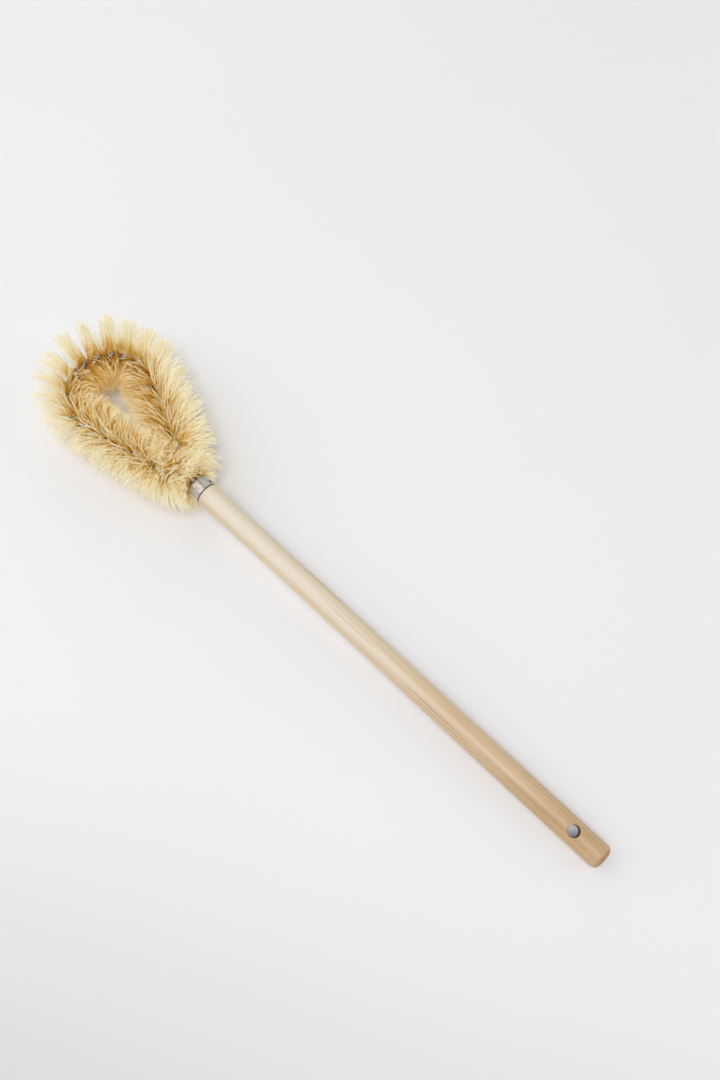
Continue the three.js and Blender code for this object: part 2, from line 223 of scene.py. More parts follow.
# Camera and light. Thin dry fibre lets light through, which its own faint glow stands for. The lights are
# large and far, and their level is what a white card that faces them would show.
LIGHT_THROUGH_FIBRE = 0.15
AMBIENT_LEVEL = 0.34
LIGHTS = (
    # name, heading from the picture's up (left is positive), height, level, distance, size
    ("ceiling", 174, 71, 0.42, 4.2, 1.7),
    ("window", 84, 42, 0.38, 2.4, 2.8),
    ("far_wall", 10, 30, 0.12, 2.6, 2.0),
    ("right_wall", -80, 30, 0.13, 2.6, 2.0),
    ("near_wall", 170, 30, 0.06, 2.6, 2.0),
)
CAMERA_AZIMUTH = math.radians(223.55)
CAMERA_ELEVATION = math.radians(65.78)
CAMERA_DISTANCE = 0.8302
CAMERA_AIM_FROM_MOUTH = Vector((-0.10834, -0.05896, 0))
CAMERA_LENS = 37.24
SENSOR = 36


def srgb(red, green, blue):
    """A colour as it looks, from 0 to 255, as the linear colour that a node takes."""
    shares = [c / 255 for c in (red, green, blue)]
    return tuple(c / 12.92 if c <= 0.04045 else ((c + 0.055) / 1.055) ** 2.4 for c in shares) + (1,)


# Maths in node trees

class Value:
    """A node's output. Python's operators on it add Math and Vector Math nodes."""

    def __init__(self, graph, socket):
        self.graph = graph
        self.socket = socket

    def output(self, name):
        return Value(self.graph, next(s for s in self.socket.node.outputs if s.enabled and s.name == name))

    def __add__(self, other):
        return self.graph.maths("ADD", self, other)

    def __sub__(self, other):
        return self.graph.maths("SUBTRACT", self, other)

    def __rsub__(self, other):
        return self.graph.maths("SUBTRACT", other, self)

    def __mul__(self, other):
        if is_vector(self) != is_vector(other):
            vector, number = (self, other) if is_vector(self) else (other, self)
            scaling = {"operation": "SCALE"}
            return self.graph.node("ShaderNodeVectorMath", scaling, Vector=vector, Scale=number)
        return self.graph.maths("MULTIPLY", self, other)

    def __truediv__(self, other):
        return self.graph.maths("DIVIDE", self, other)

    def __pow__(self, other):
        return self.graph.maths("POWER", self, other)

    __radd__ = __add__
    __rmul__ = __mul__


def is_vector(value):
    if isinstance(value, Value):
        return value.socket.type == "VECTOR"
    return isinstance(value, (Vector, tuple))


class Graph:
    """A node tree that grows by calls."""

    def __init__(self, tree):
        self.tree = tree

    def fill(self, socket, value):
        """Links a node's output to a socket, or sets a plain value there."""
        if isinstance(value, Value):
            self.tree.links.new(value.socket, socket)
        else:
            socket.default_value = value

    def node(self, kind, settings=None, *values, **named):
        """Adds a node: its settings first, then its sockets in their order or by name."""
        made = self.tree.nodes.new(kind)
        for name, value in (settings or {}).items():
            setattr(made, name, value)
        live = [s for s in made.inputs if s.enabled]
        given = list(zip(live, values))
        for name, value in named.items():
            given.append((next(s for s in live if s.name == name.replace("_", " ")), value))
        for socket, value in given:
            self.fill(socket, value)
        shown = [s for s in made.outputs if s.enabled]
        return Value(self, shown[0]) if shown else None

    def maths(self, operation, *values):
        kind = "ShaderNodeVectorMath" if any(is_vector(v) for v in values) else "ShaderNodeMath"
        return self.node(kind, {"operation": operation}, *values)

    def hypot(self, first, second):
        return self.maths("SQRT", first * first + second * second)

    def parts(self, vector):
        split = self.node("ShaderNodeSeparateXYZ", None, vector)
        return split, split.output("Y"), split.output("Z")

    def vector(self, x, y, z):
        return self.node("ShaderNodeCombineXYZ", None, x, y, z)

    def mix(self, factor, first, second):
        return self.node("ShaderNodeMix", {"data_type": "RGBA"}, Factor=factor, A=first, B=second)

    def between(self, value, low, high, start=0, end=1):
        """A smooth step from start at low to end at high."""
        return self.node(
            "ShaderNodeMapRange", {"interpolation_type": "SMOOTHSTEP"},
            Value=value, From_Min=low, From_Max=high, To_Min=start, To_Max=end,
        )

    def noise(self, vector, scale, detail=2, roughness=0.5):
        return self.node(
            "ShaderNodeTexNoise", {"noise_dimensions": "3D"},
            Vector=vector, Scale=scale, Detail=detail, Roughness=roughness,
        )

    def bump(self, height, strength, distance):
        return self.node("ShaderNodeBump", None, Strength=strength, Distance=distance, Height=height)

    def place(self):
        """Places in the object's own frame, in metres."""
        return self.node("ShaderNodeTexCoord").output("Object")

    def attribute(self, name):
        return self.node("ShaderNodeAttribute", {"attribute_name": name}).output("Fac")


def material(name):
    """A new material, its graph and its Principled shader."""
    made = bpy.data.materials.new(name)
    made.use_nodes = True
    made.node_tree.nodes.clear()
    graph = Graph(made.node_tree)
    shader = graph.node("ShaderNodeBsdfPrincipled")
    graph.node("ShaderNodeOutputMaterial", None, Surface=shader)
    return made, graph, shader.socket.node


def give(graph, shader, **inputs):
    for name, value in inputs.items():
        graph.fill(shader.inputs[name.replace("_", " ")], value)


# The handle's place: its mouth is the middle of the ferrule's front edge, and it dips to the table.
DIP = math.asin(
    (WIRE_HEIGHT - BUTT_ROUNDING)
    / math.hypot(FERRULE_LENGTH + HANDLE_LENGTH - BUTT_ROUNDING, HANDLE_RADIUS - BUTT_ROUNDING)
) - math.atan2(HANDLE_RADIUS - BUTT_ROUNDING, FERRULE_LENGTH + HANDLE_LENGTH - BUTT_ROUNDING)
ferrule_low, ferrule_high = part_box("ferrule")
MOUTH = Vector((
    ferrule_high.x - HANDLE_RADIUS * math.sin(DIP), (ferrule_low.y + ferrule_high.y) / 2, WIRE_HEIGHT,
))
HANDLE_PLACE = Matrix.Translation(MOUTH) @ Matrix.Rotation(-DIP, 4, "Y")

SHOULDER_X = -FERRULE_LENGTH
BUTT_X = SHOULDER_X - HANDLE_LENGTH
HANG_HOLE_X = BUTT_X + HANG_HOLE_SETBACK
NAIL_X = SHOULDER_X + NAIL_SETBACK


# Finishes

def handle_coordinates(graph):
    """Places in the handle's own frame: X along it, 0 at the ferrule's mouth."""
    turned_back = graph.node(
        "ShaderNodeMapping", {"vector_type": "TEXTURE"},
        Vector=graph.place(), Location=MOUTH, Rotation=(0, -DIP, 0),
    )
    return graph.parts(turned_back)


def lacquered_wood():
    made, graph, shader = material("lacquered_pale_wood")
    x, y, z = handle_coordinates(graph)
    to_butt = x / BUTT_X

    def grain(lengthwise, across, detail=2, roughness=0.5, shift=0):
        """Noise by its waves to the metre along the handle and across it."""
        place = graph.vector(x * lengthwise + shift, y * across, z * across)
        return graph.noise(place, 1, detail, roughness)

    # Growth rings round a pith beside the dowel, so that they run as long lines down its face
    drift = grain(5, 30) - 0.5
    beside_pith = y * 0.8 - z * 0.6 + PITH_ASIDE + x * GRAIN_SLOPE
    from_pith = graph.hypot(beside_pith, y * 0.6 + z * 0.8) + drift * RING_DRIFT
    ring = graph.maths("FRACT", from_pith / RING_PITCH)
    late_wood = graph.between(ring, 0.40, 0.85) * graph.between(ring, 1.0, 0.90)

    # Fine pores and rays, drawn out along the grain, and painted shade that makes the flanks a yellower,
    # darker tan
    pores = grain(26, 1500, 3, 0.6)
    bands = grain(2.6, 190)
    patches = grain(9, 60)
    streaks = grain(7, 420, 1, shift=3.1)
    off_middle = graph.maths("ABSOLUTE", y * 0.95 - z * 0.31 + drift * FLANK_DRIFT)

    # End grain drinks the lacquer and goes darker, at the butt, in the hang hole and at the ferrule's
    # mouth; painted shade darkens the hang hole further and lines the wood at the ferrule's back edge
    butt = graph.between(x, BUTT_X + BUTT_ROUNDING * 0.8, BUTT_X + BUTT_ROUNDING * 0.2)
    hole_y = y * math.cos(HANG_HOLE_ROLL) + z * math.sin(HANG_HOLE_ROLL)
    from_hole = graph.hypot(hole_y, x - HANG_HOLE_X)
    hole_grain_and_shade = graph.between(from_hole, HANG_HOLE_RADIUS + 0.5 * MM, HANG_HOLE_RADIUS)
    ferrule_joint_shade = graph.between(x, SHOULDER_X - 1.3 * MM, SHOULDER_X - 0.6 * MM)
    raw = graph.between(x, -MOUTH_RECESS - 2 * MM, -MOUTH_RECESS - 1 * MM)

    # The wood is browner towards the butt. Below is what tints it, in order: how much, and the colour.
    ageing = graph.between(to_butt, 0.35, 0.90, 0.12, 0.55)
    pale = graph.mix(graph.between(to_butt, 0.05, 0.60), srgb(231, 222, 202), srgb(227, 213, 190))
    base = graph.mix(graph.between(to_butt, 0.42, 0.90), pale, srgb(188, 157, 119))
    for share, colour in (
        (late_wood * ageing, (158, 104, 60)),
        (graph.between(bands, 0.44, 0.62) * (ageing * 0.5 + 0.32), (212, 174, 124)),
        # painted shade: a darker tan on the flanks, away from the middle of the face
        (graph.between(off_middle, FLANK_START, FLANK_END) * 0.30, (224, 192, 136)),
        (graph.between(pores, 0.50, 0.75) * ageing, (190, 150, 106)),
        (graph.between(patches, 0.40, 0.75) * 0.22, (240, 222, 190)),
        (graph.between(streaks, 0.62, 0.72) * 0.55, (158, 108, 66)),
        (butt * 0.7, (172, 118, 66)),
        # partly end grain, partly painted shade in the hang hole
        (hole_grain_and_shade * 0.75, (128, 86, 52)),
        # painted shade where the wood meets the ferrule's back edge
        (ferrule_joint_shade * 0.8, (104, 66, 36)),
        (raw * 0.6, (120, 84, 52)),
    ):
        base = graph.mix(share, base, srgb(*colour))

    roughness = 0.42 + pores * 0.10 + butt * 0.12 + hole_grain_and_shade * 0.25
    height = pores * 0.7 + late_wood * -0.25 + bands * 0.3
    give(
        graph, shader, Base_Color=base, Roughness=roughness, Normal=graph.bump(height, 0.10, 0.2 * MM),
        Coat_Weight=graph.between(hole_grain_and_shade + butt * 0.4, 1.0, 0.0, 0.05, 0.35), Coat_Roughness=0.34,
    )
    return made


def zinc_sheet():
    made, graph, shader = material("zinc_coated_sheet")
    x, y, z = handle_coordinates(graph)
    angle = graph.maths("ARCTAN2", y, z)
    wrapped = graph.vector(x, angle * HANDLE_RADIUS, 0)
    spangle = graph.node("ShaderNodeTexVoronoi", {"feature": "F1"}, Vector=wrapped, Scale=420)
    flake, *_ = graph.parts(spangle.output("Color"))
    rolling = graph.noise(graph.vector(x * 180, angle * 90, 0), 1, 3, 0.6)
    # Darker grey streaks that run along the ferrule
    dark_axial_streaks = graph.noise(graph.vector(x * 60, angle * 5.5, 0), 1, 3, 0.6)
    # Painted shade browns the rims: at the mouth, under the fibre, and at the back, by the wood
    mouth_rim_shade = graph.between(x, -2.0 * MM, -0.2 * MM)
    rim = mouth_rim_shade + graph.between(x, SHOULDER_X + 0.6 * MM, SHOULDER_X + 0.3 * MM)
    base = graph.mix(flake, srgb(206, 206, 206), srgb(232, 231, 228))
    base = graph.mix(graph.between(dark_axial_streaks, 0.46, 0.62) * 0.6, base, srgb(146, 145, 146))
    # painted shade at both rims
    base = graph.mix(rim * 0.6, base, srgb(112, 92, 74))
    roughness = 0.30 + flake * 0.08 + rolling * 0.14 + rim * 0.1
    normal = graph.bump(rolling + flake * 0.3, 0.25, 0.1 * MM)
    give(graph, shader, Base_Color=base, Metallic=0.82, Roughness=roughness, Normal=normal)
    return made


def dark_steel():
    made, graph, shader = material("darkened_nail_steel")
    scale = graph.noise(graph.place(), 1900, 3)
    base = graph.mix(scale, srgb(84, 82, 82), srgb(136, 132, 128))
    normal = graph.bump(scale, 0.3, 0.1 * MM)
    give(graph, shader, Base_Color=base, Metallic=0.9, Roughness=0.34 + scale * 0.2, Normal=normal)
    return made


def zinc_wire():
    made, graph, shader = material("zinc_coated_wire")
    place = graph.place()
    dull = graph.noise(place, 260, 3, 0.6)
    draw_marks = graph.noise(place, 1400, 2)
    base = graph.mix(graph.between(dull, 0.35, 0.68), srgb(172, 172, 170), srgb(128, 124, 118))
    base = graph.mix(graph.between(draw_marks, 0.58, 0.74) * 0.5, base, srgb(98, 88, 76))
    normal = graph.bump(draw_marks, 0.2, 0.1 * MM)
    give(graph, shader, Base_Color=base, Metallic=0.9, Roughness=0.30 + dull * 0.22, Normal=normal)
    return made


def plant_fibre():
    made, graph, shader = material("dry_plant_fibre")
    out = graph.attribute("from_root")
    tint = graph.attribute("tint")
    mottle = graph.noise(graph.place(), 700, 2)
    # Fibre runs from a deep golden root to a pale tip: partly its own colour, partly painted shade deep in
    # the brush at the roots and painted light at the tips
    root = graph.mix(tint, srgb(208, 140, 42), srgb(253, 212, 104))
    middle = graph.mix(tint, srgb(232, 178, 62), srgb(255, 239, 152))
    tip = graph.mix(tint, srgb(249, 234, 182), srgb(255, 254, 244))
    base = graph.mix(graph.between(out, 0.05, 0.42), root, middle)
    base = graph.mix(graph.between(out, 0.40, 0.90), base, tip)
    base = graph.mix(graph.between(mottle, 0.60, 0.74) * 0.30, base, srgb(170, 118, 58))
    speck = graph.between(tint, 0.045, 0.02) * graph.between(mottle, 0.40, 0.56)
    base = graph.mix(speck * 0.85, base, srgb(82, 56, 34))
    give(
        graph, shader, Base_Color=base, Roughness=0.50 + mottle * 0.16, Specular_IOR_Level=0.35,
        Emission_Color=graph.mix(graph.between(out, 0.15, 0.85, 0.35, 1), (0, 0, 0, 1), base),
        Emission_Strength=LIGHT_THROUGH_FIBRE,
    )
    return made


# Meshes

def new_object(name, data):
    made = bpy.data.objects.new(name, data)
    bpy.context.scene.collection.objects.link(made)
    return made


def mesh_object(name, points, faces):
    mesh = bpy.data.meshes.new(name)
    mesh.from_pydata([tuple(p) for p in points], [], faces)
    mesh.validate()
    return new_object(name, mesh)


def smooth(piece, sharp_angle=40):
    piece.data.shade_smooth()
    piece.data.set_sharp_from_angle(angle=math.radians(sharp_angle))


def arc(centre, radius, start, end, steps):
    """Points of an arc, with angles in degrees from the first axis to the second."""
    return [
        (centre[0] + radius * math.cos(a), centre[1] + radius * math.sin(a))
        for a in np.linspace(math.radians(start), math.radians(end), steps + 1)
    ]


def rings_to_mesh(name, rings, closed_rows=False):
    """A skin over rings of points. A ring of one point closes an end."""
    points = [p for ring in rings for p in ring]
    starts = np.cumsum([0] + [len(ring) for ring in rings])
    pairs = list(zip(range(len(rings) - 1), range(1, len(rings))))
    if closed_rows:
        pairs.append((len(rings) - 1, 0))
    faces = []
    for first, second in pairs:
        a, b = starts[first], starts[second]
        count_a, count_b = len(rings[first]), len(rings[second])
        for k in range(max(count_a, count_b)):
            n = k + 1
            if count_a == 1:
                faces.append((a, b + n % count_b, b + k))
            elif count_b == 1:
                faces.append((a + k, a + n % count_a, b))
            else:
                faces.append((a + k, a + n % count_a, b + n % count_b, b + k))
    return mesh_object(name, points, faces)


def turned(name, profile, sides):
    """A solid of revolution about X. The profile has the radius first, then the place along X."""
    rings = []
    for radius, x in profile:
        if radius == 0:
            rings.append([(x, 0, 0)])
        else:
            angles = [2 * math.pi * k / sides for k in range(sides)]
            rings.append([(x, radius * math.sin(a), radius * math.cos(a)) for a in angles])
    return rings_to_mesh(name, rings)


def outward(piece):
    """Makes every face point out."""
    shell = bmesh.new()
    shell.from_mesh(piece.data)
    bmesh.ops.remove_doubles(shell, verts=shell.verts, dist=MERGE_DISTANCE)
    bmesh.ops.recalc_face_normals(shell, faces=shell.faces)
    shell.to_mesh(piece.data)
    shell.free()


def apply_modifiers(piece):
    """Swaps the piece's mesh for what its modifiers make, and takes them off."""
    graph = bpy.context.evaluated_depsgraph_get()
    mesh = bpy.data.meshes.new_from_object(piece.evaluated_get(graph))
    piece.modifiers.clear()
    piece.data = mesh


def place(piece, matrix):
    piece.data.transform(matrix)
    piece.data.update()


def finish_piece(piece, surface, slot, *nodes):
    piece.data.materials.clear()
    piece.data.materials.append(surface)
    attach(piece, "root")
    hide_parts(*nodes)


# Handle, ferrule and nail

def across_handle(x, roll):
    """Stands a turned piece's axis across the handle, at x along it and rolled from the top."""
    on_end = Matrix.Rotation(-math.pi / 2, 4, "Y")
    return Matrix.Translation((x, 0, 0)) @ Matrix.Rotation(roll, 4, "X") @ on_end


def round_cutter(name, radius, low, high, sides, x, roll):
    cutter = turned(name, [(0, low), (radius, low), (radius, high), (0, high)], sides)
    place(cutter, across_handle(x, roll))
    outward(cutter)
    return cutter


def nail_cutter():
    tip = HANDLE_RADIUS - NAIL_LENGTH - SEAT_GAP
    head = HANDLE_RADIUS + CUT_OVERRUN
    radius = NAIL_SHANK_RADIUS + SEAT_GAP / 3
    return round_cutter("nail_cutter", radius, tip, head, NAIL_HOLE_SIDES, NAIL_X, NAIL_ROLL)


def hang_hole_cutter():
    reach = HANDLE_RADIUS + CUT_OVERRUN
    return round_cutter(
        "hole_cutter", HANG_HOLE_RADIUS, -reach, reach, HANG_HOLE_SIDES, HANG_HOLE_X, HANG_HOLE_ROLL,
    )


def cut_out(piece, cutter):
    modifier = piece.modifiers.new("cut", "BOOLEAN")
    modifier.operation = "DIFFERENCE"
    modifier.solver = "EXACT"
    modifier.object = cutter
    apply_modifiers(piece)
    bpy.data.objects.remove(cutter)


def ease_edges(piece, width):
    modifier = piece.modifiers.new("ease", "BEVEL")
    modifier.width = width
    modifier.segments = 3
    modifier.limit_method = "ANGLE"
    modifier.angle_limit = EASED_ANGLE
    modifier.use_clamp_overlap = True
    apply_modifiers(piece)


def make_handle():
    edge = HANDLE_RADIUS - BUTT_ROUNDING
    shoulder = HANDLE_RADIUS - SHOULDER_ROUNDING
    spigot = HANDLE_RADIUS - FERRULE_WALL - SEAT_GAP
    straight = np.linspace(BUTT_X + BUTT_ROUNDING, SHOULDER_X - SHOULDER_ROUNDING, HANDLE_ROWS)[1:-1]
    profile = [(0, BUTT_X)]
    profile += arc((edge, BUTT_X + BUTT_ROUNDING), BUTT_ROUNDING, -90, 0, BUTT_STEPS)
    profile += [(HANDLE_RADIUS, x) for x in straight]
    profile += arc((shoulder, SHOULDER_X - SHOULDER_ROUNDING), SHOULDER_ROUNDING, 0, 90, SHOULDER_STEPS)
    profile += [(spigot, SHOULDER_X), (spigot, -MOUTH_RECESS), (BORE_RADIUS, -MOUTH_RECESS)]
    profile += [(BORE_RADIUS, -LEG_DEPTH - SEAT_GAP), (0, -LEG_DEPTH - SEAT_GAP)]
    handle = turned("turned_handle", profile, HANDLE_SIDES)
    outward(handle)
    cut_out(handle, hang_hole_cutter())
    ease_edges(handle, EDGE_EASING)
    cut_out(handle, nail_cutter())
    place(handle, HANDLE_PLACE)
    smooth(handle)
    finish_piece(handle, lacquered_wood(), "handle_wood", "handle")


def dent_depth(angle, share):
    depth = 0
    for dent_angle, dent_share, breadth, length, deep in DENTS:
        turn = (math.degrees(angle) - dent_angle + 180) % 360 - 180
        depth += deep * MM * math.exp(-((turn / breadth) ** 2) - ((share - dent_share) / length) ** 2)
    return depth


def seam_lift(angle):
    """The sheet's outer end laps over the inner one at the seam."""
    past = (angle - SEAM_ANGLE) % (2 * math.pi)
    return SEAM_STEP * max(1 - past / SEAM_FADE, 0) ** 2


def make_ferrule():
    back = SHOULDER_X + SEAT_GAP * FERRULE_BACK_SHARE
    inner = HANDLE_RADIUS - FERRULE_WALL
    e = FERRULE_EDGE
    outer_x = np.linspace(back + e, -e, FERRULE_ROWS)
    profile = arc((HANDLE_RADIUS - e, back + e), e, -90, 0, FERRULE_EDGE_STEPS)[:-1]
    profile += [(HANDLE_RADIUS, x) for x in outer_x]
    profile += arc((HANDLE_RADIUS - e, -e), e, 0, 90, FERRULE_EDGE_STEPS)[1:]
    profile += [(inner, x) for x in (0, back / 3, 2 * back / 3, back)]
    rings = []
    for radius, x in profile:
        ring = []
        for k in range(FERRULE_SIDES):
            angle = 2 * math.pi * k / FERRULE_SIDES
            r = radius - dent_depth(angle, (x - back) / -back) + seam_lift(angle)
            ring.append((x, r * math.sin(angle), r * math.cos(angle)))
        rings.append(ring)
    ferrule = rings_to_mesh("crimped_ferrule", rings, closed_rows=True)
    outward(ferrule)
    cut_out(ferrule, nail_cutter())
    place(ferrule, HANDLE_PLACE)
    smooth(ferrule, 50)
    finish_piece(ferrule, zinc_sheet(), "ferrule_zinc", "ferrule")


def make_nail():
    tip = HANDLE_RADIUS - NAIL_LENGTH
    under = HANDLE_RADIUS + SEAT_GAP * NAIL_SEAT_SHARE
    rim = under + NAIL_RIM_HEIGHT
    dome = NAIL_HEAD_HEIGHT - NAIL_RIM_HEIGHT
    profile = [(0, tip), (NAIL_SHANK_RADIUS, tip + NAIL_POINT_LENGTH), (NAIL_SHANK_RADIUS, under)]
    profile += [(NAIL_HEAD_RADIUS - NAIL_RIM_CHAMFER, under), (NAIL_HEAD_RADIUS, rim)]
    profile += [
        (NAIL_HEAD_RADIUS * math.cos(a), rim + dome * math.sin(a))
        for a in np.linspace(0, math.pi / 2, NAIL_DOME_POINTS)[1:-1]
    ]
    profile += [(0, under + NAIL_HEAD_HEIGHT)]
    nail = turned("driven_nail", profile, NAIL_SIDES)
    outward(nail)
    place(nail, HANDLE_PLACE @ across_handle(NAIL_X, NAIL_ROLL))
    smooth(nail)
    finish_piece(nail, dark_steel(), "nail_steel", "ferrule_nail")


# The axis of the twisted pair, seen from above in the mouth's frame

VERTEX = np.array([VERTEX_AHEAD, VERTEX_ASIDE])
ARM_SPREAD = math.asin(BEND_RADIUS / APEX_DISTANCE)
ARM_LENGTH = math.sqrt(APEX_DISTANCE**2 - BEND_RADIUS**2)


def from_vertex(heading, distance):
    return VERTEX + distance * np.array([math.cos(heading), math.sin(heading)])


BEND_CENTRE = from_vertex(LOOP_LEAN, APEX_DISTANCE)


def loop_axis():
    """Points along the axis, a path step apart, from the end of one leg to the end of the other."""
    fine = np.linspace(0, 1, STRETCH_POINTS)[:, None]
    leg_y = LEG_SPACING / 2
    left = LOOP_LEAN + ARM_SPREAD
    right = LOOP_LEAN - ARM_SPREAD

    def line(a, b):
        return a + (b - a) * fine

    def bezier(a, b, c, d):
        rest = 1 - fine
        return a * rest**3 + 3 * b * fine * rest**2 + 3 * c * fine**2 * rest + d * fine**3

    def side(heading, leg):
        knee = np.array([0, leg])
        ease_end, neck_end, arm_end = (
            from_vertex(heading, distance) for distance in (NECK_SPAN - NECK_EASE, NECK_SPAN, ARM_LENGTH)
        )
        inside = line(np.array([-LEG_DEPTH, leg]), knee)
        neck = bezier(knee, knee + [NECK_EASE, 0], ease_end, neck_end)
        return np.concatenate([inside, neck[1:], line(neck_end, arm_end)[1:]])

    turn = np.linspace(left + math.pi / 2, right - math.pi / 2, BEND_POINTS)
    bend = BEND_CENTRE + BEND_RADIUS * np.stack([np.cos(turn), np.sin(turn)], 1)
    points = np.concatenate([side(left, leg_y), bend[1:-1], side(right, -leg_y)[::-1]])
    arcs = np.concatenate([[0], np.cumsum(np.linalg.norm(np.diff(points, axis=0), axis=1))])
    even = np.linspace(0, arcs[-1], round(arcs[-1] / PATH_STEP) + 1)
    return even, np.stack([np.interp(even, arcs, points[:, k]) for k in (0, 1)], 1)


ARCS, AXIS = loop_axis()


def twist_start():
    """The twist starts where the two arms leave room for each other."""
    gaps = np.linalg.norm(AXIS - AXIS[::-1], axis=1)
    clear = (gaps >= 2 * PAIR_RADIUS + SEAT_GAP) & (ARCS > LEG_DEPTH)
    return ARCS[np.argmax(clear)]


TWIST_START = twist_start()
TWIST_END = ARCS[-1] - TWIST_START


def turn_at(arcs):
    """The angle from the side to up at which the first wire lies."""
    return math.pi / 2 - math.pi * HALF_TWISTS * (arcs - TWIST_START) / (TWIST_END - TWIST_START)


def unit(rows):
    return rows / np.linalg.norm(rows, axis=1)[:, None]


def stations():
    """The pair's place, direction, side and up at each point of its axis, and the turn of the wires."""
    dip = np.where(AXIS[:, 0] < 0, DIP, 0)
    centre = np.stack([AXIS[:, 0] * np.cos(dip), AXIS[:, 1], AXIS[:, 0] * np.sin(dip)], 1) + np.array(MOUTH)
    along = unit(np.gradient(centre, axis=0))
    side = unit(np.cross(np.array(UP), along))
    return centre, along, side, np.cross(along, side), turn_at(np.clip(ARCS, TWIST_START, TWIST_END))


CENTRE, ALONG, SIDE, LIFT, TURN = stations()


def make_wire(name, sign, surface, node):
    to_wire = SIDE * np.cos(TURN)[:, None] + LIFT * np.sin(TURN)[:, None]
    line = CENTRE + to_wire * STRAND_OFFSET * sign
    heading = unit(np.gradient(line, axis=0))
    first = unit(to_wire - heading * np.sum(to_wire * heading, 1)[:, None])
    second = np.cross(heading, first)
    angles = [2 * math.pi * k / WIRE_SIDES for k in range(WIRE_SIDES)]
    rings = [
        [tuple(point + WIRE_RADIUS * (a * math.cos(t) + b * math.sin(t))) for t in angles]
        for point, a, b in zip(line, first, second)
    ]
    wire = rings_to_mesh(name, [[tuple(line[0])], *rings, [tuple(line[-1])]])
    outward(wire)
    smooth(wire)
    finish_piece(wire, surface, "wire_zinc", node)


# Fibre: a tree of nodes that plants fibres along the twisted pair and draws their tips into tufts

FIBRE_INPUTS = (
    ("Fibres", "Int"), ("From Share", "Float"), ("To Share", "Float"), ("Per Lock", "Int"),
    ("Lock Spread", "Float"), ("Tufts", "Int"), ("Bend", "Float"), ("Top Reach", "Float"),
    ("Inward Reach", "Float"), ("Length Spread", "Float"), ("Thickness", "Float"),
    ("Tip Thickness", "Float"), ("Steps", "Int"), ("Floor", "Float"), ("Seed", "Int"),
    ("Material", "Material"),
)


